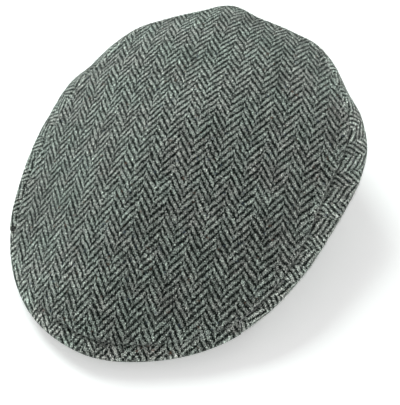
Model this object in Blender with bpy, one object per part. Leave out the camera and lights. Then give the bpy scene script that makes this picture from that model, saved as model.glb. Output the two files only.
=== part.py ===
"""A flat cap in herringbone tweed: a one-piece top panel, two side panels and a peak.

Units are metres and +Z is up. The cap stands on its side panels' lower edges at Z = 0.
The peak points along -Y, the wearer's left is +X, and the origin is below the middle.
A bearing is an angle in degrees, seen from above, about the top panel's middle. It is
0 at the front of the peak, 90 at the wearer's left, 180 at the back and 270 at the right.
"""

import bisect
import math
from collections import namedtuple

import bmesh
import bpy
from mathutils import Vector

# Overall sizes
CAP_HALF_WIDTH = 0.1080
CAP_FRONT = 0.1500
CAP_BACK = 0.1215
CAP_HEIGHT = 0.089

# Cloth and sewing
CLOTH = 0.0025
GAP = 0.0003

# Peak
PEAK_THICKNESS = 0.0045
PEAK_BELOW_EDGE = 0.0016
PEAK_NOSE = 0.0020
PEAK_RISE = 0.16
PEAK_CORNER = 40.0
PEAK_INNER_MIDDLE = 0.685
PEAK_INNER_CORNER = 0.900

# How square the cap's outline is: 2 is an ellipse, and more is squarer
SQUARE_FRONT = 2.07
SQUARE_BACK = 1.885

# How the cap's section changes from the front round to the back, the same on both sides.
# edge: height of the widest line, a share of the cap's height
# fall and shoulder: the two powers of the curve from the top down to the widest line
# seam: where the top panel ends, a share of the way from its middle to the widest line
# tuck: how far the lower edge stands in from the widest line, a share of the half width
Section = namedtuple("Section", "bearing edge fall shoulder seam tuck")
SECTIONS = (
    Section(bearing=0, edge=0.160, fall=1.15, shoulder=1.12, seam=0.960, tuck=0.080),
    Section(bearing=20, edge=0.155, fall=1.25, shoulder=1.05, seam=0.962, tuck=0.085),
    Section(bearing=40, edge=0.225, fall=1.40, shoulder=0.94, seam=0.965, tuck=0.100),
    Section(bearing=60, edge=0.352, fall=1.52, shoulder=0.90, seam=0.937, tuck=0.130),
    Section(bearing=90, edge=0.478, fall=1.46, shoulder=1.15, seam=0.880, tuck=0.163),
    Section(bearing=120, edge=0.595, fall=1.70, shoulder=1.76, seam=0.882, tuck=0.160),
    Section(bearing=150, edge=0.668, fall=3.30, shoulder=2.35, seam=0.920, tuck=0.155),
    Section(bearing=180, edge=0.695, fall=3.60, shoulder=2.50, seam=0.930, tuck=0.150),
)

# The soft swells and hollows of the cloth round the edge of the cap.
# swell: how far the edge stands out there, a share of its distance from the middle
Swell = namedtuple("Swell", "bearing swell")
SWELLS = (
    Swell(bearing=0, swell=-0.009),
    Swell(bearing=18, swell=-0.040),
    Swell(bearing=40, swell=-0.028),
    Swell(bearing=60, swell=-0.028),
    Swell(bearing=80, swell=-0.037),
    Swell(bearing=92, swell=-0.030),
    Swell(bearing=104, swell=0.001),
    Swell(bearing=115, swell=0.023),
    Swell(bearing=127, swell=0.009),
    Swell(bearing=138, swell=-0.025),
    Swell(bearing=152, swell=-0.010),
    Swell(bearing=160, swell=-0.008),
    Swell(bearing=169, swell=-0.038),
    Swell(bearing=183, swell=-0.034),
    Swell(bearing=195, swell=0.055),
    Swell(bearing=206, swell=0.006),
    Swell(bearing=218, swell=0.003),
    Swell(bearing=231, swell=0.040),
    Swell(bearing=242, swell=0.021),
    Swell(bearing=252, swell=-0.004),
    Swell(bearing=262, swell=0.013),
    Swell(bearing=280, swell=-0.008),
    Swell(bearing=302, swell=-0.024),
    Swell(bearing=320, swell=-0.007),
    Swell(bearing=340, swell=-0.008),
    Swell(bearing=360, swell=-0.009),
)

# How much of the swell is left at the lower edge
SWELL_AT_HEM = 0.3

# How far the curve over the top is eased where the panel's middle would be pointed
MIDDLE_EASE = 0.15

# Fineness of the faceted solids
TOP_COLUMNS = 96
TOP_RINGS = 13
SIDE_COLUMNS = 46
SEAM_TO_WIDEST = 4
WIDEST_TO_HEM = 6
PEAK_COLUMNS = 28
PEAK_ROWS = 7
NOSE_TURNS = (30, 60)

# The four pieces' colours
TOP_COLOUR = (0.128, 0.150, 0.138)
SIDE_COLOUR = (0.136, 0.156, 0.146)
PEAK_COLOUR = (0.118, 0.138, 0.128)
TWEED_ROUGHNESS = 0.92


def along_rows(rows, column, place):
    """One column of a table at any place along it, on a smooth curve through the rows."""
    places = [row.bearing for row in rows]
    values = [getattr(row, column) for row in rows]
    k = min(max(bisect.bisect_right(places, place) - 1, 0), len(places) - 2)

    def slope(i):
        if i in (0, len(places) - 1):
            return 0.0
        return (values[i + 1] - values[i - 1]) / (places[i + 1] - places[i - 1])

    span = places[k + 1] - places[k]
    t = (place - places[k]) / span
    start = (2 * t**3 - 3 * t**2 + 1) * values[k] + (t**3 - 2 * t**2 + t) * span * slope(k)
    end = (3 * t**2 - 2 * t**3) * values[k + 1] + (t**3 - t**2) * span * slope(k + 1)
    return start + end


def section(bearing, column):
    """One column of SECTIONS at any bearing, the same on both sides of the cap."""
    turn = bearing % 360
    return along_rows(SECTIONS, column, min(turn, 360 - turn))


def outward(bearing):
    """The level direction that a bearing points in."""
    return Vector((math.sin(math.radians(bearing)), -math.cos(math.radians(bearing)), 0))


def reach(bearing, swollen=1.0):
    """Distance from the top panel's middle to the widest line, with all or some swell."""
    way = outward(bearing)
    front = way.y < 0
    power = SQUARE_FRONT if front else SQUARE_BACK
    length = CAP_FRONT if front else CAP_BACK
    across = abs(way.x) / CAP_HALF_WIDTH
    along = abs(way.y) / length
    swell = along_rows(SWELLS, "swell", bearing % 360) * swollen
    return (across**power + along**power) ** (-1 / power) * (1 + swell)


def crown_skin(bearing, share):
    """Outer face of the cap. Share 0 is the middle, 1 the widest line and 2 the hem."""
    edge = section(bearing, "edge") * CAP_HEIGHT
    if share <= 1:
        radius = reach(bearing)
        fall = section(bearing, "fall")
        power = 1 / section(bearing, "shoulder")
        eased = (share**2 + MIDDLE_EASE**2) ** (fall / 2) - MIDDLE_EASE**fall
        eased /= (1 + MIDDLE_EASE**2) ** (fall / 2) - MIDDLE_EASE**fall
        height = edge + (CAP_HEIGHT - edge) * max(1 - eased, 0) ** power
        return outward(bearing) * radius * share + Vector((0, 0, height))
    down = share - 1
    radius = reach(bearing, 1 - down * (1 - SWELL_AT_HEM))
    tuck = section(bearing, "tuck") * CAP_HALF_WIDTH
    inset = tuck * (3 * down**2 - 2 * down**3)
    return outward(bearing) * (radius - inset) + Vector((0, 0, edge * (1 - down)))


def skin_normal(bearing, share):
    """Outward direction of the cap's outer face."""
    if share < 0.02:
        return Vector((0, 0, 1))
    step = 0.012
    low = max(share - step, 0.005)
    high = min(share + step, 2)
    up = crown_skin(bearing, low) - crown_skin(bearing, high)
    round_it = crown_skin(bearing + 1, share) - crown_skin(bearing - 1, share)
    return round_it.cross(up).normalized()


def cloth_inside(bearing, share):
    """Inner face of the cloth, one thickness in from its outer face at the same bearing."""
    way = outward(bearing)
    normal = skin_normal(bearing, share)
    flat = Vector((normal.dot(way), normal.z))
    inward = -(way * flat.x + Vector((0, 0, flat.y))) / flat.length
    if share >= 2:
        return crown_skin(bearing, share) - way * CLOTH
    return crown_skin(bearing, share) + inward * CLOTH / flat.length


def make_piece(name, points, faces, colour):
    """A closed, smooth-shaded mesh object with its own tweed colour."""
    mesh = bpy.data.meshes.new(name)
    mesh.from_pydata(points, [], faces)
    work = bmesh.new()
    work.from_mesh(mesh)
    bmesh.ops.recalc_face_normals(work, faces=work.faces)
    if work.calc_volume(signed=True) < 0:
        bmesh.ops.reverse_faces(work, faces=work.faces)
    bmesh.ops.triangulate(work, faces=work.faces)
    work.to_mesh(mesh)
    work.free()
    mesh.shade_smooth()
    piece = bpy.data.objects.new(name, mesh)
    bpy.context.scene.collection.objects.link(piece)
    tweed = bpy.data.materials.new(name)
    tweed.use_nodes = True
    shader = tweed.node_tree.nodes["Principled BSDF"]
    shader.inputs["Base Color"].default_value = (*colour, 1)
    shader.inputs["Roughness"].default_value = TWEED_ROUGHNESS
    shader.inputs["Metallic"].default_value = 0.0
    mesh.materials.append(tweed)
    return piece


def strip_faces(columns, loop):
    """Faces that join each loop of points to the next, with both ends left open."""
    faces = []
    for i in range(columns - 1):
        here = i * loop
        there = (i + 1) * loop
        for j in range(loop):
            k = (j + 1) % loop
            faces.append((here + j, here + k, there + k, there + j))
    return faces


def end_faces(first, half):
    """Caps the open end of a strip whose loop goes out on one face and back on the other."""
    faces = []
    loop = 2 * half
    for j in range(half - 1):
        faces.append((first + j, first + j + 1, first + loop - 2 - j, first + loop - 1 - j))
    return faces


# Top panel: one piece of tweed, drawn down over the front of the peak and sewn to the
# side panels round the rest of its edge.
def make_top_panel():
    points = [crown_skin(0, 0), cloth_inside(0, 0)]
    for i in range(TOP_COLUMNS):
        bearing = 360 * i / TOP_COLUMNS
        seam = section(bearing, "seam") - GAP / 2 / reach(bearing)
        for ring in range(1, TOP_RINGS + 1):
            points.append(crown_skin(bearing, seam * ring / TOP_RINGS))
        for ring in range(TOP_RINGS, 0, -1):
            points.append(cloth_inside(bearing, seam * ring / TOP_RINGS))
    faces = []
    loop = 2 * TOP_RINGS
    for i in range(TOP_COLUMNS):
        here = 2 + i * loop
        there = 2 + (i + 1) % TOP_COLUMNS * loop
        faces.append((0, here, there))
        faces.append((1, there + loop - 1, here + loop - 1))
        for j in range(loop - 1):
            faces.append((here + j, here + j + 1, there + j + 1, there + j))
    return make_piece("crown_top", points, faces, TOP_COLOUR)


# Side panels: each runs from a corner of the peak round one side to the middle of the
# back. It swells out over the widest line and turns in again to the lower edge.
def make_side_panel(name, first, last):
    points = []
    for i in range(SIDE_COLUMNS):
        bearing = first + (last - first) * i / (SIDE_COLUMNS - 1)
        seam = section(bearing, "seam") + GAP / 2 / reach(bearing)
        shares = []
        for k in range(SEAM_TO_WIDEST):
            rounding = math.sin(math.pi / 2 * k / SEAM_TO_WIDEST)
            shares.append(seam + (1 - seam) * rounding)
        for k in range(WIDEST_TO_HEM + 1):
            shares.append(1 + k / WIDEST_TO_HEM)
        points += [crown_skin(bearing, share) for share in shares]
        points += [cloth_inside(bearing, share) for share in reversed(shares)]
    half = SEAM_TO_WIDEST + WIDEST_TO_HEM + 1
    faces = strip_faces(SIDE_COLUMNS, 2 * half)
    faces += end_faces(0, half)
    faces += end_faces((SIDE_COLUMNS - 1) * 2 * half, half)
    return make_piece(name, points, faces, SIDE_COLOUR)


# Peak: a stiff board covered in tweed. Its rim stands out below the top panel's front
# edge, and it rises towards the head.
def make_peak():
    points = []
    corner = PEAK_CORNER - math.degrees(GAP / 2 / reach(PEAK_CORNER))
    for i in range(PEAK_COLUMNS):
        bearing = corner * (2 * i / (PEAK_COLUMNS - 1) - 1)
        rim = reach(bearing)
        out_of_middle = (bearing / PEAK_CORNER) ** 2
        inner = PEAK_INNER_MIDDLE + (PEAK_INNER_CORNER - PEAK_INNER_MIDDLE) * out_of_middle
        top = section(bearing, "edge") * CAP_HEIGHT - PEAK_BELOW_EDGE
        upper = []
        lower = []
        for row in range(PEAK_ROWS):
            radius = rim * inner + (rim - PEAK_NOSE - rim * inner) * row / (PEAK_ROWS - 1)
            height = top + PEAK_RISE * (rim - radius)
            upper.append(outward(bearing) * radius + Vector((0, 0, height)))
            lower.append(upper[-1] - Vector((0, 0, PEAK_THICKNESS)))
        nose = []
        for turn in NOSE_TURNS:
            out = rim - PEAK_NOSE + PEAK_NOSE * math.sin(math.radians(turn))
            drop = PEAK_THICKNESS / 2 * (1 - math.cos(math.radians(turn)))
            nose.append(outward(bearing) * out + Vector((0, 0, top - drop)))
        under = [p - Vector((0, 0, 2 * (p.z - top) + PEAK_THICKNESS)) for p in nose]
        points += upper + nose + list(reversed(under)) + list(reversed(lower))
    half = PEAK_ROWS + 2
    faces = strip_faces(PEAK_COLUMNS, 2 * half)
    faces += end_faces(0, half)
    faces += end_faces((PEAK_COLUMNS - 1) * 2 * half, half)
    return make_piece("peak", points, faces, PEAK_COLOUR)


def stand_on_origin(pieces):
    """Moves the pieces together so that the cap's middle is over the origin."""
    corners = [vertex.co for piece in pieces for vertex in piece.data.vertices]
    middle_x = (min(p.x for p in corners) + max(p.x for p in corners)) / 2
    middle_y = (min(p.y for p in corners) + max(p.y for p in corners)) / 2
    for piece in pieces:
        for vertex in piece.data.vertices:
            vertex.co -= Vector((middle_x, middle_y, 0))


def main():
    for old in list(bpy.data.objects):
        bpy.data.objects.remove(old)
    corner_side = PEAK_CORNER + math.degrees(GAP / 2 / reach(PEAK_CORNER))
    back_side = 180 - math.degrees(GAP / 2 / reach(180))
    pieces = [
        make_top_panel(),
        make_side_panel("side_panel_left", corner_side, back_side),
        make_side_panel("side_panel_right", 360 - corner_side, 360 - back_side),
        make_peak(),
    ]
    stand_on_origin(pieces)


main()
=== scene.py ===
import math

import bmesh
import bpy
import numpy as np
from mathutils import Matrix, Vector, noise


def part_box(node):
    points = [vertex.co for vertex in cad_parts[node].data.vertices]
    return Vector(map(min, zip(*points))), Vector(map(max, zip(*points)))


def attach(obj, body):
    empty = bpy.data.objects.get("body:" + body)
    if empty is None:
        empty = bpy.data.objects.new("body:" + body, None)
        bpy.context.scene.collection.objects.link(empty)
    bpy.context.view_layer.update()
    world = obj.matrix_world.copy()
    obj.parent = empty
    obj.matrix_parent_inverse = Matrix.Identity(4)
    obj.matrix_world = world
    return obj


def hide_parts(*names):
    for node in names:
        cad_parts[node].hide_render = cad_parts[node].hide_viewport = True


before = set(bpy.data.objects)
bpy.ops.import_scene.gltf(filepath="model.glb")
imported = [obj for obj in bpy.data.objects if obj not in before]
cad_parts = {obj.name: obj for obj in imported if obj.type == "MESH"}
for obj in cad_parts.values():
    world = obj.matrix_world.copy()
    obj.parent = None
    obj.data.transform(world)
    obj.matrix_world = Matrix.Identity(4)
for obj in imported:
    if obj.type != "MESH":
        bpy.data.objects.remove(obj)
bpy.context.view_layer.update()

# Top panel. One piece of wool tweed covers the whole cap, pulled forward over the peak.
# It is woven in herringbone columns about 8 mm wide, and its edge is turned in and sewn
# to the side panels, so the turned cloth makes a soft ridge beside the seam.

HALF_WIDTH = 0.1080
FRONT_REACH = 0.1500
BACK_REACH = 0.1215
CAP_HEIGHT = 0.089
SQUARE_FRONT = 2.07
SQUARE_BACK = 1.885
MIDDLE_EASE = 0.15
SWELL_AT_HEM = 0.3
CLOTH = 0.0025
HALF_GAP = 0.00015

# bearing, height of the widest line, fall, shoulder, seam and tuck, as in the CAD
SECTIONS = np.array([
    (0, 0.160, 1.15, 1.12, 0.960, 0.080),
    (20, 0.155, 1.25, 1.05, 0.962, 0.085),
    (40, 0.225, 1.40, 0.94, 0.965, 0.100),
    (60, 0.352, 1.52, 0.90, 0.937, 0.130),
    (90, 0.478, 1.46, 1.15, 0.880, 0.163),
    (120, 0.595, 1.70, 1.76, 0.882, 0.160),
    (150, 0.668, 3.30, 2.35, 0.920, 0.155),
    (180, 0.695, 3.60, 2.50, 0.930, 0.150),
])
EDGE, FALL, SHOULDER, SEAM, TUCK = 1, 2, 3, 4, 5

# bearing and how far the edge swells out there
SWELLS = np.array([
    (0, -0.009), (18, -0.040), (40, -0.028), (60, -0.028), (80, -0.037),
    (92, -0.030), (104, 0.001), (115, 0.023), (127, 0.009), (138, -0.025),
    (152, -0.010), (160, -0.008), (169, -0.038), (183, -0.034), (195, 0.055),
    (206, 0.006), (218, 0.003), (231, 0.040), (242, 0.021), (252, -0.004),
    (262, 0.013), (280, -0.008), (302, -0.024), (320, -0.007), (340, -0.008),
    (360, -0.009),
])


def along_rows(rows, column, place):
    """A column of a table at many places, on a smooth curve through its rows."""
    places, values = rows[:, 0], rows[:, column]
    slopes = np.zeros(len(values))
    slopes[1:-1] = (values[2:] - values[:-2]) / (places[2:] - places[:-2])
    k = np.clip(np.searchsorted(places, place, side="right") - 1, 0, len(places) - 2)
    span = places[k + 1] - places[k]
    t = (place - places[k]) / span
    start = (2 * t**3 - 3 * t**2 + 1) * values[k] + (t**3 - 2 * t**2 + t) * span * slopes[k]
    end = (3 * t**2 - 2 * t**3) * values[k + 1] + (t**3 - t**2) * span * slopes[k + 1]
    return start + end


def section(bearing, column):
    turn = np.mod(bearing, 360)
    return along_rows(SECTIONS, column, np.minimum(turn, 360 - turn))


def reach(bearing, swollen=1.0):
    """Distance from the panel's middle to the cap's widest line."""
    x, y = np.sin(np.radians(bearing)), -np.cos(np.radians(bearing))
    power = np.where(y < 0, SQUARE_FRONT, SQUARE_BACK)
    length = np.where(y < 0, FRONT_REACH, BACK_REACH)
    swell = along_rows(SWELLS, 1, np.mod(bearing, 360)) * swollen
    oval = (np.abs(x / HALF_WIDTH) ** power + np.abs(y / length) ** power) ** (-1 / power)
    return oval * (1 + swell)


def crown_skin(bearing, share):
    """Outer face of the cap: share 0 is the middle, 1 the widest line and 2 the hem."""
    edge = section(bearing, EDGE) * CAP_HEIGHT
    fall = section(bearing, FALL)
    power = 1 / section(bearing, SHOULDER)
    over = np.minimum(share, 1)
    eased = (over**2 + MIDDLE_EASE**2) ** (fall / 2) - MIDDLE_EASE**fall
    eased = eased / ((1 + MIDDLE_EASE**2) ** (fall / 2) - MIDDLE_EASE**fall)
    dome = edge + (CAP_HEIGHT - edge) * np.maximum(1 - eased, 0) ** power
    down = np.maximum(share - 1, 0)
    inset = section(bearing, TUCK) * HALF_WIDTH * (3 * down**2 - 2 * down**3)
    radius = np.where(
        share <= 1,
        reach(bearing) * share,
        reach(bearing, 1 - down * (1 - SWELL_AT_HEM)) - inset,
    )
    height = np.where(share <= 1, dome, edge * (1 - down))
    way = np.radians(bearing)
    return np.stack([radius * np.sin(way), -radius * np.cos(way), height], -1)


# The CAD stands with its middle over the origin, so the panel's middle is moved there.
around = np.linspace(0, 360, 1441)
widest = crown_skin(around, np.ones_like(around))
side_low, side_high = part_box("side_panel_right")[0][0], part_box("side_panel_left")[1][0]
MIDDLE = np.array([
    (side_low + side_high) / 2 - (widest[:, 0].min() + widest[:, 0].max()) / 2,
    (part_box("peak")[0][1] - widest[:, 1].min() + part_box("side_panel_right")[1][1]
     - widest[:, 1].max()) / 2,
    0,
])


def unit(vectors):
    return vectors / np.maximum(np.linalg.norm(vectors, axis=-1, keepdims=True), 1e-9)


def skin_normal(bearing, share):
    step = 0.012
    low, high = np.maximum(share - step, 0.004), np.minimum(share + step, 2)
    up = crown_skin(bearing, low) - crown_skin(bearing, high)
    across = crown_skin(bearing + 1, share) - crown_skin(bearing - 1, share)
    return unit(np.cross(across, up))


# Where each point of the panel lies in the flat cloth, counted in columns and twill lines.
# The cloth is cut slightly off the straight, as the photo's columns show.
COLUMN = 0.00836
COLUMN_SLANT = math.radians(16.6)
CLOTH_STEP = 0.0015
FIRST_COLUMN = 12.44


def cloth_map():
    """Arc length across and along the panel on a grid, for looking up points."""
    xs = np.arange(0, 0.125, CLOTH_STEP)
    xs = np.concatenate([-xs[:0:-1], xs])
    ys = np.arange(-0.165, 0.135, CLOTH_STEP)
    gx, gy = np.meshgrid(xs, ys, indexing="ij")
    bearing = np.degrees(np.arctan2(gx, -gy))
    share = np.hypot(gx, gy) / reach(bearing)
    height = crown_skin(bearing, np.minimum(share, 1))[..., 2]
    run_x = np.hypot(CLOTH_STEP, np.diff(height, axis=0))
    run_y = np.hypot(CLOTH_STEP, np.diff(height, axis=1))
    across = np.zeros_like(height)
    across[1:] = np.cumsum(run_x, axis=0)
    across -= across[len(xs) // 2]
    along = np.zeros_like(height)
    along[:, 1:] = np.cumsum(run_y, axis=1)
    along -= along[:, [int(np.argmin(np.abs(ys)))]]
    return xs, ys, across, along


def look_up(xs, ys, table, x, y):
    """A table's value at any point, between the four nearest entries of its grid."""
    i = np.clip((x - xs[0]) / CLOTH_STEP, 0, len(xs) - 1.001)
    j = np.clip((y - ys[0]) / CLOTH_STEP, 0, len(ys) - 1.001)
    i0, j0 = i.astype(int), j.astype(int)
    s, t = i - i0, j - j0
    low = table[i0, j0] * (1 - t) + table[i0, j0 + 1] * t
    high = table[i0 + 1, j0] * (1 - t) + table[i0 + 1, j0 + 1] * t
    return low * (1 - s) + high * s


MAP_X, MAP_Y, ACROSS, ALONG = cloth_map()


def top_cloth(points):
    """Columns across and twill lines along the cloth, at points about the middle.

    The columns are straight in the cloth. The rows sag towards the front and the cloth is
    stretched a little towards the back, as the shaping of such a panel leaves them.
    """
    # x and y are in decimetres, and the curves are fitted to the photo's columns and lines.
    x = look_up(MAP_X, MAP_Y, ACROSS, points[..., 0], points[..., 1]) * 10
    y = look_up(MAP_X, MAP_Y, ALONG, points[..., 0], points[..., 1]) * 10
    u = x / 10 * math.cos(COLUMN_SLANT) + points[..., 1] * math.sin(COLUMN_SLANT)
    v = 16.85 * y - 1.8 * y**2 - 0.5 * y**3 + 0.5 * y**4 + 0.2 * y**5
    v = v - 4.7 * x - 4.15 * x**2 + 0.75 * x**4 - 0.35 * x * y + 0.2 * x**2 * y
    u = u / COLUMN + 0.14 * x - 0.12 * y - 0.65 * x**2 + 0.13 * x * y
    u = u - 0.6 * x**3 + 0.24 * x**2 * y + 0.4 * x * y**2
    return np.stack([u + FIRST_COLUMN, v], -1)


def soft_waves(points, size, seed):
    """A gentle unevenness of the cloth at each point, from -1 to 1."""
    flat = points.reshape(-1, 3)
    shift = Vector((seed, seed * 0.37, -seed))
    values = [noise.noise(Vector(p) / size + shift) for p in flat]
    return np.array(values).reshape(points.shape[:-1])


# Most fibres take the light wool's colour, from a spot of the cloth where a light yarn lies:
# partly the light yarn's own colour, partly painted light that makes the fuzz round the
# outline pale, standing in for the light it catches at the edges.
LIGHT_FIBRES = 0.7
LIGHT_SPOT = (0.5, 0.0)
FIBRE_LENGTH = 0.0017
SHORTEST_FIBRE = 0.35
FIBRE_RADIUS = 0.00006
FIBRE_ROOT = 0.0002
FIBRE_LEAN = 0.55


def stand_fibres(outer, cloth_uv, count, seed):
    """Short wool fibres standing out of the outer face, each a thin closed spike."""
    rng = np.random.default_rng(seed)
    here, below, beside = outer[:-1, :-1], outer[:-1, 1:], outer[1:, :-1]
    facing = np.cross(beside - here, below - here)
    area = np.linalg.norm(facing, axis=-1)
    facing = facing / np.maximum(area, 1e-12)[..., None]
    facing = facing * np.sign((facing * here)[..., :2].sum())
    spot = rng.choice(area.size, count, p=(area / area.sum()).ravel())
    i, j = np.unravel_index(spot, area.shape)
    s, t = rng.random((count, 1)), rng.random((count, 1))
    root = here[i, j] + s * (beside - here)[i, j] + t * (below - here)[i, j]
    is_light = rng.random((count, 1)) < LIGHT_FIBRES
    uv = np.where(is_light, LIGHT_SPOT, cloth_uv[:-1, :-1][i, j])
    way = unit(facing[i, j] + rng.normal(0, FIBRE_LEAN, (count, 3)))
    side = unit(np.cross(way, rng.normal(0, 1, (count, 3))))
    other = np.cross(way, side)
    length = FIBRE_LENGTH * (SHORTEST_FIBRE + rng.random((count, 1)))
    low = root - facing[i, j] * FIBRE_ROOT
    corners = [low + FIBRE_RADIUS * (side * math.cos(a) + other * math.sin(a))
               for a in (0, 2 * math.pi / 3, 4 * math.pi / 3)]
    points = np.stack(corners + [root + way * length], axis=1).reshape(-1, 3)
    # No fibre reaches through the surface that the cap stands on.
    points[:, 2] = np.maximum(points[:, 2], 0)
    first = np.arange(count)[:, None] * 4
    faces = np.concatenate([
        first + np.array(face) for face in ((0, 2, 1), (0, 1, 3), (1, 2, 3), (2, 0, 3))
    ])
    return points, np.repeat(uv, 4, axis=0), faces


def lay_grid(name, outer, inner, cloth_uv, fibres, middles=None, middle_uv=None):
    """A closed cloth wall: an outer and an inner grid of points, joined at their edges.

    Rows run round the cap and columns run down the piece. Where two middles are given,
    the rows go all the way round and a fan closes each face at its middle.
    """
    rows = outer.shape[0]
    loop = np.concatenate([outer, inner[:, ::-1]], axis=1)
    uv_loop = np.concatenate([cloth_uv[0], cloth_uv[1][:, ::-1]], axis=1)
    length = loop.shape[1]
    points, uvs = loop.reshape(-1, 3), uv_loop.reshape(-1, 2)
    round_it = middles is not None
    faces = []
    for i in range(rows if round_it else rows - 1):
        here, there = i * length, (i + 1) % rows * length
        for j in range(length - 1 if round_it else length):
            k = (j + 1) % length
            faces.append((here + j, here + k, there + k, there + j))
        if round_it:
            top, under = rows * length, rows * length + 1
            faces.append((top, here, there))
            faces.append((under, there + length - 1, here + length - 1))
    if round_it:
        points = np.concatenate([points, middles])
        uvs = np.concatenate([uvs, middle_uv])
    else:
        for first in (0, (rows - 1) * length):
            ends = list(range(first, first + length))
            faces.append(ends if first else ends[::-1])
    spikes, spike_uvs, spike_faces = stand_fibres(outer, cloth_uv[0], fibres, len(name))
    faces.extend((spike_faces + len(points)).tolist())
    points, uvs = np.concatenate([points, spikes]), np.concatenate([uvs, spike_uvs])
    mesh = bpy.data.meshes.new(name)
    mesh.from_pydata((points + MIDDLE).tolist(), [], faces)
    return mesh, uvs


SHARP_ANGLE = math.radians(55)


def finish_mesh(mesh, uvs):
    """Faces out, smooth, with the cloth's own coordinates as the UV map."""
    layer = mesh.uv_layers.new(name="cloth")
    corner = np.empty(len(mesh.loops), dtype=np.int32)
    mesh.loops.foreach_get("vertex_index", corner)
    layer.data.foreach_set("uv", uvs[corner].astype(np.float32).ravel())
    work = bmesh.new()
    work.from_mesh(mesh)
    bmesh.ops.recalc_face_normals(work, faces=work.faces)
    if work.calc_volume(signed=True) < 0:
        bmesh.ops.reverse_faces(work, faces=work.faces)
    work.to_mesh(mesh)
    work.free()
    mesh.shade_smooth()
    mesh.set_sharp_from_angle(angle=SHARP_ANGLE)


TOP_AROUND = 420
TOP_OUT = 96
TOP_IN = 26
TOP_FIBRES = 22000
RING_CLOSING = 1.5
RIDGE_RISE = 0.0011
RIDGE_FROM_EDGE = 0.0022
RIDGE_WIDTH = 0.0034
TURN_IN = 0.0014
TURN_WIDTH = 0.0018
CALM_EDGE = 0.012
WAVE_RISE = 0.0007
WAVE_SIZE = 0.034
FINE_RISE = 0.00022
FINE_SIZE = 0.009
# Where the painted highlight lies on the fold beside the seam: its distance from the edge,
# its width and how much of it is left over the peak.
HIGHLIGHT_FROM_EDGE = 0.0019
HIGHLIGHT_WIDTH = 0.0017
HIGHLIGHT_AT_FRONT = 0.15


def make_top_panel():
    bearing = (np.arange(TOP_AROUND) / TOP_AROUND * 360)[:, None]
    seam = section(bearing, SEAM) - HALF_GAP / reach(bearing)
    # Rings close up towards the sewn edge, where the ridge and the turned edge are.
    steps = np.linspace(0, 1, TOP_OUT + 1)[1:]
    rings = (1 - (1 - steps) ** RING_CLOSING)[None, :] * seam
    skin = crown_skin(bearing, rings)
    from_edge = (seam - rings) * reach(bearing)
    ridge = RIDGE_RISE * np.exp(-(((from_edge - RIDGE_FROM_EDGE) / RIDGE_WIDTH) ** 2))
    turned = TURN_IN * np.clip(1 - from_edge / TURN_WIDTH, 0, 1) ** 2
    hold = np.clip(from_edge / CALM_EDGE, 0, 1)
    waves = WAVE_RISE * hold * soft_waves(skin, WAVE_SIZE, 3.1)
    fine = FINE_RISE * hold * soft_waves(skin, FINE_SIZE, 8.7)
    outer = skin + skin_normal(bearing, rings) * (ridge - turned + waves + fine)[..., None]
    in_rings = (np.linspace(0, 1, TOP_IN + 1)[1:])[None, :] * seam
    in_skin = crown_skin(bearing, in_rings)
    inner = in_skin - skin_normal(bearing, in_rings) * CLOTH
    uv_out, uv_in = top_cloth(skin), top_cloth(in_skin)
    middles = np.array([[0.0, 0.0, CAP_HEIGHT], [0.0, 0.0, CAP_HEIGHT - CLOTH]])
    mesh, uvs = lay_grid(
        "top_panel", outer, inner, (uv_out, uv_in), TOP_FIBRES, middles, top_cloth(middles)
    )
    finish_mesh(mesh, uvs)
    # A painted highlight: the fold beside the seam is made pale where its ridge would catch
    # the light, and least over the peak at the front.
    painted_ridge_highlight = np.exp(-(((from_edge - HIGHLIGHT_FROM_EDGE) / HIGHLIGHT_WIDTH) ** 2))
    from_front = np.minimum(bearing, 360 - bearing)
    painted_ridge_highlight = painted_ridge_highlight * np.clip((from_front - 40) / 25, HIGHLIGHT_AT_FRONT, 1)
    painted_ridge_highlight = np.concatenate([painted_ridge_highlight, np.zeros((TOP_AROUND, TOP_IN))], axis=1).ravel()
    values = np.zeros(len(mesh.vertices), dtype=np.float32)
    values[: len(painted_ridge_highlight)] = painted_ridge_highlight
    mesh.attributes.new("painted_ridge_highlight", "FLOAT", "POINT").data.foreach_set("value", values)
    piece = bpy.data.objects.new("top_panel", mesh)
    bpy.context.scene.collection.objects.link(piece)
    return piece


class Wire:
    """A shader socket that can be used in sums, so shader maths reads as arithmetic."""

    tree = None

    def __init__(self, socket):
        self.socket = socket

    @classmethod
    def node(cls, kind, settings=None, **sockets):
        """Adds a node, sets it up first, then gives its sockets values or links."""
        made = cls.tree.nodes.new(kind)
        for key, value in (settings or {}).items():
            setattr(made, key, value)
        for key, value in sockets.items():
            name = key.replace("_", " ")
            target = made.inputs[int(key[1:])] if key[1:].isdigit() else made.inputs[name]
            if isinstance(value, Wire):
                cls.tree.links.new(value.socket, target)
            else:
                target.default_value = value
        return made

    @classmethod
    def maths(cls, operation, *values):
        inputs = {f"i{n}": value for n, value in enumerate(values)}
        made = cls.node("ShaderNodeMath", {"operation": operation}, **inputs)
        return cls(made.outputs[0])

    def __add__(self, other):
        return self.maths("ADD", self, other)

    __radd__ = __add__

    def __mul__(self, other):
        return self.maths("MULTIPLY", self, other)

    __rmul__ = __mul__

    def __sub__(self, other):
        return self.maths("SUBTRACT", self, other)

    def __rsub__(self, other):
        return self.maths("SUBTRACT", other, self)

    def __truediv__(self, other):
        return self.maths("DIVIDE", self, other)

    def floor(self):
        return self.maths("FLOOR", self)

    def fraction(self):
        return self.maths("FRACT", self)

    def size(self):
        return self.maths("ABSOLUTE", self)

    def step_up(self, low, high):
        """0 below low, 1 above high, and a smooth curve between."""
        made = self.node(
            "ShaderNodeMapRange", {"interpolation_type": "SMOOTHSTEP"},
            Value=self, From_Min=low, From_Max=high, To_Min=0.0, To_Max=1.0,
        )
        return Wire(made.outputs["Result"])


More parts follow.
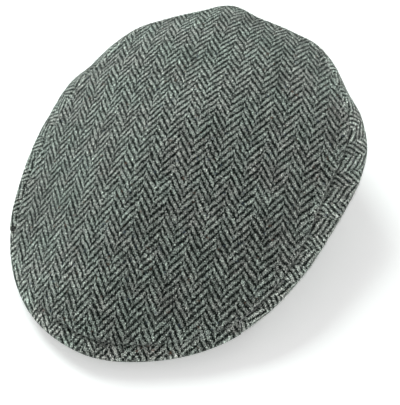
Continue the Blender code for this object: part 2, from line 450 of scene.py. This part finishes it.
def mix_colour(share, low, high, blend="MIX"):
    made = Wire.node("ShaderNodeMix", {"data_type": "RGBA", "blend_type": blend})
    for index, value in ((0, share), (6, low), (7, high)):
        if isinstance(value, Wire):
            Wire.tree.links.new(value.socket, made.inputs[index])
        else:
            made.inputs[index].default_value = value
    return Wire(made.outputs[2])


def speckle(place, scale, detail=2.0, rough=0.5, dimensions="3D"):
    made = Wire.node(
        "ShaderNodeTexNoise", {"noise_dimensions": dimensions},
        Vector=place, Scale=scale, Detail=detail, Roughness=rough,
    )
    return Wire(made.outputs["Fac"])


def white(place):
    made = Wire.node("ShaderNodeTexWhiteNoise", {"noise_dimensions": "2D"}, Vector=place)
    return Wire(made.outputs["Value"])


def joined(x, y, z=0.0):
    made = Wire.node("ShaderNodeCombineXYZ", None, X=x, Y=y, Z=z)
    return Wire(made.outputs[0])


# A column is two twill lines wide, which is eight ends of yarn, and a line takes four picks
ENDS_IN_COLUMN = 8.0
LINES_IN_COLUMN = 2.0
PICKS_IN_LINE = 4.0
DARK_WOOL = (0.0085, 0.0125, 0.0105, 1)
LIGHT_WOOL = (0.412, 0.432, 0.410, 1)
GREEN_WOOL = (0.242, 0.275, 0.248, 1)
CLOUD_TINT = (0.60, 0.64, 0.62, 1)
WARM_FLECK = (0.150, 0.085, 0.060, 1)
COOL_FLECK = (0.070, 0.095, 0.130, 1)
GREENER = (0.955, 1.015, 0.985, 1)
WARMER = (1.05, 0.985, 0.99, 1)
COLUMN_WANDER = 0.16
LINE_WANDER = 0.55


def make_tweed(name, painted_light=1.0):
    """Herringbone tweed: dark weft, light warp, heathered wool, a rough nap and slubs, with
    painted light: a lightness for the piece and a painted highlight on the seam's fold.
    """
    tweed = bpy.data.materials.new(name)
    tweed.use_nodes = True
    tree = tweed.node_tree
    Wire.tree = tree
    tree.nodes.clear()
    shader = tree.nodes.new("ShaderNodeBsdfPrincipled")
    output = tree.nodes.new("ShaderNodeOutputMaterial")
    tree.links.new(shader.outputs[0], output.inputs[0])

    cloth = Wire(Wire.node("ShaderNodeUVMap", {"uv_map": "cloth"}).outputs[0])
    parts = Wire.node("ShaderNodeSeparateXYZ", None, Vector=cloth)
    place = Wire(Wire.node("ShaderNodeTexCoord").outputs["Object"])

    # The yarns wander a little, so columns and lines are never ruled straight.
    wander = speckle(place, 60.0, 3.0, 0.6) - 0.5
    drift = speckle(place, 110.0, 3.0, 0.6) - 0.5
    u = Wire(parts.outputs[0]) + wander * COLUMN_WANDER
    v = Wire(parts.outputs[1]) + drift * LINE_WANDER

    # Each column leans the other way from its neighbour, and its lines break there.
    column = u.floor()
    inside = u - column
    odd = (column * 0.5).fraction() * 2.0
    lean = 1.0 - odd * 2.0
    end = inside * ENDS_IN_COLUMN
    in_end = end.fraction()
    stepped = (end.floor() + 0.5) / ENDS_IN_COLUMN
    rise = lean * (stepped * 0.6 + inside * 0.4 - 0.5) * LINES_IN_COLUMN
    run = v + rise + odd * 0.5
    line = (run.fraction() - 0.5).size() * 2.0

    # No two floats of yarn are the same: each has its own weight and lightness.
    yarn = column * ENDS_IN_COLUMN + end.floor()
    own = white(joined(yarn, (run + 0.5).floor())) - 0.5
    pair_of_ends = (u * ENDS_IN_COLUMN * 0.5).floor()
    pick = white(joined(pair_of_ends, (v * PICKS_IN_LINE).floor())) - 0.5

    # Wool is uneven: thick and thin places, and fibres of one yarn lying over the other.
    slub = speckle(joined(u * 8.0, v * 3.0), 1.0, 2.0, 0.6) - 0.5
    hairs = (speckle(place, 620.0, 3.0, 0.75) - 0.5) * 2.2
    fuzz = (speckle(place, 1500.0, 2.0, 0.6) - 0.5) * 2.2
    light = line + own * 0.18 + pick * 0.14 + slub * 0.38 + hairs * 0.60 + fuzz * 0.70
    # A painted highlight on the top panel's fold beside the seam: more light yarn and a
    # lighter colour there, where the ridge catches the light.
    fold = Wire(Wire.node("ShaderNodeAttribute", {"attribute_name": "painted_ridge_highlight"}).outputs["Fac"])
    painted_ridge_highlight = fold * (hairs + fuzz + 0.50).step_up(0.15, 0.95)
    light = Wire.maths("POWER", (light + painted_ridge_highlight * 0.30).step_up(0.16, 0.86), 1.25)

    # Colour: dark and light wool, both heathered, with a few coloured flecks.
    heather = speckle(joined(u * 14.0, v * 6.0), 1.0, 2.0, 0.6)
    light_wool = mix_colour(heather.step_up(0.32, 0.62), GREEN_WOOL, LIGHT_WOOL)
    woven = mix_colour(light, DARK_WOOL, light_wool)
    # Lightness per spot from the yarns' unevenness, with the painted highlight on the seam's
    # fold.
    stops = own * 0.6 + pick * 0.2 + hairs * 1.3 + fuzz * 3.5 + painted_ridge_highlight * 0.6
    bright = Wire.maths("POWER", 2.0, stops)
    woven = mix_colour(1.0, woven, joined(bright, bright, bright), "MULTIPLY")
    cloud = speckle(place, 22.0, 3.0, 0.55).step_up(0.30, 0.70)
    toned = mix_colour(cloud * 0.55, woven, CLOUD_TINT, "MULTIPLY")
    spots = Wire.node("ShaderNodeTexVoronoi", {"feature": "F1"}, Vector=place, Scale=640.0)
    fleck = Wire.node("ShaderNodeSeparateColor", None, Color=Wire(spots.outputs["Color"]))
    warm = Wire(fleck.outputs[0]).step_up(0.988, 0.992)
    cool = Wire(fleck.outputs[1]).step_up(0.988, 0.992)
    wisps = (hairs + 0.5).step_up(0.25, 0.75) * 0.7
    toned = mix_colour(warm * wisps, toned, WARM_FLECK)
    toned = mix_colour(cool * wisps, toned, COOL_FLECK)
    warmth = speckle(place, 42.0, 4.0, 0.75).step_up(0.33, 0.67)
    dye = mix_colour(warmth, GREENER, WARMER)
    toned = mix_colour(1.0, toned, dye, "MULTIPLY")
    # Each piece's colour is multiplied by its own lightness: painted light, making lit copies
    # of the one tweed for the side panels and the peak.
    toned = mix_colour(1.0, toned, (painted_light, painted_light, painted_light, 1), "MULTIPLY")
    tree.links.new(toned.socket, shader.inputs["Base Color"])

    # Relief: the raised light yarn, the round of single ends and a short nap.
    round_end = (in_end - 0.5).size()
    relief = light * 0.8 - round_end * 0.5 + hairs * 1.1 + slub * 0.6 + fuzz * 0.4
    bump = Wire.node("ShaderNodeBump", None, Strength=0.9, Distance=0.0006, Height=relief)
    tree.links.new(bump.outputs[0], shader.inputs["Normal"])
    for socket, value in (
        ("Roughness", 0.95),
        ("Specular IOR Level", 0.10),
        ("Sheen Weight", 0.24),
        ("Sheen Roughness", 0.32),
        ("Sheen Tint", (0.82, 0.90, 0.86, 1)),
    ):
        shader.inputs[socket].default_value = value
    return tweed


top_panel = make_top_panel()
top_panel.data.materials.append(make_tweed("top_tweed"))
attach(top_panel, "root")
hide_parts("crown_top")


# Side panels. Two bands of the same tweed, deep at the back and narrow at the front, cut
# so that their columns run slantwise. Each is sewn under the top panel's edge, swells
# out over the fullest part of the cap and turns in to the folded lower edge.

PEAK_CORNER = 40.0
SIDE_AROUND = 260
SIDE_DOWN = 60
SIDE_IN = 22
SIDE_FIBRES = 9000
SIDE_SLANT = math.radians(49)
SIDE_FIRST_COLUMN = 2.85
RIGHT_COLUMN_SHIFT = 0.6
TWILL_RUN = 0.0055
HEM_SWEEP = 0.62
SWEEP_DEGREES = 13
FLUSH_DEGREES = 7
SIDE_RIDGE_RISE = 0.0004
SIDE_RIDGE_WIDTH = 0.0030
SIDE_TURN_IN = 0.0015
SIDE_TURN_WIDTH = 0.0020
HEM_ROLL = 0.0009
HEM_ROLL_SHARE = 0.10
SIDE_CALM_EDGE = 0.01
SIDE_WAVE_RISE = 0.0006
SIDE_WAVE_SIZE = 0.030
SIDE_FINE_RISE = 0.0002


def side_cloth(points):
    """Columns and twill lines on a side panel, from distances along and down it."""
    seam_line = points[:, 0]
    steps = np.linalg.norm(np.diff(seam_line, axis=0), axis=-1)
    along = np.concatenate([[0], np.cumsum(steps)])[:, None]
    down_steps = np.linalg.norm(np.diff(points, axis=1), axis=-1)
    down = np.concatenate(
        [np.zeros((len(points), 1)), np.cumsum(down_steps, axis=1)], axis=1
    )
    turned_u = along * math.sin(SIDE_SLANT) - down * math.cos(SIDE_SLANT)
    turned_v = along * math.cos(SIDE_SLANT) + down * math.sin(SIDE_SLANT)
    return np.stack([turned_u / COLUMN + SIDE_FIRST_COLUMN, turned_v / TWILL_RUN], -1)


def make_side_panel(name, first, last, seed):
    bearing = np.linspace(first, last, SIDE_AROUND)[:, None]
    seam = section(bearing, SEAM) + HALF_GAP / reach(bearing)
    over = np.sin(np.linspace(0, math.pi / 2, SIDE_DOWN // 2, endpoint=False))[None, :]
    # The hem sweeps up to the corner of the peak, where the panel lies flush with it.
    from_corner = np.abs(bearing - first)
    hem = 2 - HEM_SWEEP * np.clip(1 - from_corner / SWEEP_DEGREES, 0, 1) ** 1.6
    flush = np.clip(from_corner / FLUSH_DEGREES, 0, 1)
    under = 1 + (hem - 1) * np.linspace(0, 1, SIDE_DOWN // 2 + 1)[None, :]
    shares = np.concatenate([seam + (1 - seam) * over, under], axis=1)
    skin = crown_skin(bearing, shares)
    from_seam = (shares - seam) * reach(bearing)
    from_ridge = (from_seam - SIDE_RIDGE_WIDTH) / SIDE_RIDGE_WIDTH
    ridge = SIDE_RIDGE_RISE * np.exp(-(from_ridge**2))
    turned = SIDE_TURN_IN * np.clip(1 - from_seam / SIDE_TURN_WIDTH, 0, 1) ** 2
    hem_roll = HEM_ROLL * np.exp(-(((hem - shares) / HEM_ROLL_SHARE) ** 2))
    hold = np.clip(from_seam / SIDE_CALM_EDGE, 0, 1)
    waves = SIDE_WAVE_RISE * hold * soft_waves(skin, SIDE_WAVE_SIZE, seed)
    fine = SIDE_FINE_RISE * hold * soft_waves(skin, FINE_SIZE, seed + 5)
    lift = (ridge + hem_roll + waves + fine) * flush - turned
    lift[:, -1] = 0
    outer = skin + skin_normal(bearing, shares) * lift[..., None]
    in_shares = seam + (hem - seam) * np.linspace(0, 1, SIDE_IN)[None, :]
    normals = skin_normal(bearing, in_shares)
    way = np.radians(bearing)[..., None] * np.ones((1, SIDE_IN, 1))
    out = np.concatenate([np.sin(way), -np.cos(way), np.zeros_like(way)], axis=-1)
    level = (normals * out).sum(-1, keepdims=True) * out
    level[..., 2] = normals[..., 2]
    tall = np.linalg.norm(level, axis=-1, keepdims=True)
    inner = crown_skin(bearing, in_shares) - level / tall**2 * CLOTH
    inner[:, -1] = outer[:, -1] - out[:, -1] * CLOTH
    shift = np.array([0.0 if first < 180 else RIGHT_COLUMN_SHIFT, 0.0])
    uv_out, uv_in = side_cloth(outer) + shift, side_cloth(inner) + shift
    mesh, uvs = lay_grid(name, outer, inner, (uv_out, uv_in), SIDE_FIBRES)
    finish_mesh(mesh, uvs)
    piece = bpy.data.objects.new(name, mesh)
    bpy.context.scene.collection.objects.link(piece)
    return piece


# The wool of each side is made lighter than the top panel's, to match the photo's tones:
# painted light, making the sides look more brightly lit than the top, the left side most.
corner_gap = math.degrees(HALF_GAP / float(reach(np.array(PEAK_CORNER))))
back_gap = math.degrees(HALF_GAP / float(reach(np.array(180.0))))
for side, first, last, seed, painted_light in (
    ("left", PEAK_CORNER + corner_gap, 180 - back_gap, 14.2, 1.58),
    ("right", 360 - PEAK_CORNER - corner_gap, 180 + back_gap, 27.9, 1.20),
):
    panel = make_side_panel(f"{side}_panel", first, last, seed)
    panel.data.materials.append(make_tweed(f"{side}_tweed", painted_light))
    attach(panel, "root")
    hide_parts(f"side_panel_{side}")


# Peak. A stiff board wrapped in the same tweed, its rim standing out a few millimetres
# below the edge of the top panel. The cloth is pulled round the rim, so the rim is round.

PEAK_THICKNESS = 0.0045
PEAK_BELOW_EDGE = 0.0016
PEAK_NOSE = 0.0020
PEAK_RISE = 0.16
PEAK_INNER_MIDDLE = 0.685
PEAK_INNER_CORNER = 0.900
PEAK_AROUND = 200
PEAK_ROWS = 34
PEAK_FIBRES = 6000
ROW_CLOSING = 1.7
NOSE_STEPS = 10
PADDING = 0.0034
PADDING_WIDTH = 0.015
PADDING_GAP = 0.0004
# The peak's tweed is made lighter than the top panel's: painted light, as if its rim were
# more brightly lit.
PEAK_PAINTED_LIGHT = 1.55


def make_peak():
    corner = PEAK_CORNER - corner_gap
    bearing = np.linspace(-corner, corner, PEAK_AROUND)[:, None]
    rim = reach(bearing)
    spread = (bearing / PEAK_CORNER) ** 2
    inner = PEAK_INNER_MIDDLE + (PEAK_INNER_CORNER - PEAK_INNER_MIDDLE) * spread
    top = section(bearing, EDGE) * CAP_HEIGHT - PEAK_BELOW_EDGE
    way = np.radians(bearing)

    def at(radius, height):
        return np.stack(
            [radius * np.sin(way), -radius * np.cos(way), height + radius * 0], -1
        )

    across = 1 - (1 - np.linspace(0, 1, PEAK_ROWS)[None, :]) ** ROW_CLOSING
    radius = rim * inner + (rim - PEAK_NOSE - rim * inner) * across
    level = top + PEAK_RISE * (rim - radius)
    # The cloth is padded up against the turned edge of the top panel.
    room = crown_skin(bearing, radius / rim)[..., 2] - CLOTH - PADDING_GAP - level
    most = PADDING * np.exp(-(((rim - radius) / PADDING_WIDTH) ** 2))
    padding = np.clip(room, 0, most)
    upper = at(radius, level + padding)
    lower = at(radius, level - PEAK_THICKNESS)
    turn = np.linspace(0, math.pi, NOSE_STEPS + 1)[1:-1][None, :]
    half = PEAK_THICKNESS / 2
    nose_radius = rim - PEAK_NOSE + PEAK_NOSE * np.sin(turn)
    nose_top = top + PEAK_RISE * PEAK_NOSE * np.cos(turn).clip(0, 1)
    nose = at(nose_radius, nose_top - half * (1 - np.cos(turn)))
    outer = np.concatenate([upper, nose[:, : NOSE_STEPS // 2]], axis=1)
    under = np.concatenate([lower, nose[:, NOSE_STEPS // 2:][:, ::-1]], axis=1)
    uv_out, uv_in = top_cloth(outer), top_cloth(under) * np.array([1, -1])
    mesh, uvs = lay_grid("peak_cover", outer, under, (uv_out, uv_in), PEAK_FIBRES)
    finish_mesh(mesh, uvs)
    piece = bpy.data.objects.new("peak_cover", mesh)
    bpy.context.scene.collection.objects.link(piece)
    return piece


peak = make_peak()
peak.data.materials.append(make_tweed("peak_tweed", PEAK_PAINTED_LIGHT))
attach(peak, "root")
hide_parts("peak")


# Floor and light: a plain pale surface that glows a little, so that shadows stay faint, one
# wide soft light from the wearer's right and behind, as the photo's paler left and back
# edges show, and a weak low one from the wearer's front left.

FLOOR_HALF = 6.0
floor_mesh = bpy.data.meshes.new("floor")
floor_mesh.from_pydata(
    [(x * FLOOR_HALF, y * FLOOR_HALF, 0) for x, y in ((-1, -1), (1, -1), (1, 1), (-1, 1))],
    [], [(0, 1, 2, 3)],
)
floor = bpy.data.objects.new("floor", floor_mesh)
bpy.context.scene.collection.objects.link(floor)
paper = bpy.data.materials.new("white_paper")
paper.use_nodes = True
for socket, value in (
    ("Base Color", (0.9, 0.9, 0.9, 1)),
    ("Roughness", 0.9),
    ("Emission Color", (1, 1, 1, 1)),
    ("Emission Strength", 0.35),
):
    paper.node_tree.nodes["Principled BSDF"].inputs[socket].default_value = value
floor_mesh.materials.append(paper)

scene = bpy.context.scene
scene.view_settings.view_transform = "Standard"
scene.world = bpy.data.worlds.new("studio")
scene.world.use_nodes = True
sky = scene.world.node_tree.nodes["Background"]
sky.inputs["Color"].default_value = (1.0, 1.0, 1.0, 1)
sky.inputs["Strength"].default_value = 0.53


def soft_light(name, place, size, power, colour, aim=(0, 0, 0.05)):
    """A square lamp that faces the aim. Sizes are in metres and the power in watts."""
    lamp = bpy.data.lights.new(name, "AREA")
    lamp.size = size
    lamp.energy = power
    lamp.color = colour
    holder = bpy.data.objects.new(name, lamp)
    holder.location = place
    holder.rotation_euler = (Vector(aim) - Vector(place)).to_track_quat("-Z", "Y").to_euler()
    scene.collection.objects.link(holder)


soft_light("window", (-0.90, 0.55, 1.00), 0.9, 22.5, (0.89, 1.0, 0.96))
soft_light("card", (0.75, -0.62, 0.06), 0.5, 0.8, (1.0, 1.0, 0.98), aim=(0, 0, 0.03))

# Camera: from the wearer's front left, looking down at 46 degrees. Its view was fitted to
# the photo's outline, and the target falls on the pixel that the last value gives.
AZIMUTH = math.radians(28.3)
ELEVATION = math.radians(46.1)
DISTANCE = 0.5483
PIXELS_PER_METRE = 1566.0
FRAME_WIDE, FRAME_TALL = 400, 405
TARGET = Vector((0, -0.0085, 0.049))
SENSOR_TALL = 24.0
TARGET_AT = (177.3, 165.0)

back = Vector((
    math.sin(AZIMUTH) * math.cos(ELEVATION),
    -math.cos(AZIMUTH) * math.cos(ELEVATION),
    math.sin(ELEVATION),
))
camera_data = bpy.data.cameras.new("camera")
camera = bpy.data.objects.new("camera", camera_data)
camera.location = TARGET + back * DISTANCE
camera.rotation_euler = (-back).to_track_quat("-Z", "Y").to_euler()
camera_data.sensor_fit = "VERTICAL"
camera_data.sensor_height = SENSOR_TALL
camera_data.lens = SENSOR_TALL * PIXELS_PER_METRE * DISTANCE / FRAME_TALL
camera_data.shift_x = (FRAME_WIDE / 2 - TARGET_AT[0]) / FRAME_TALL
camera_data.shift_y = (TARGET_AT[1] - FRAME_TALL / 2) / FRAME_TALL
camera_data.clip_start = 0.01
scene.collection.objects.link(camera)
scene.camera = camera
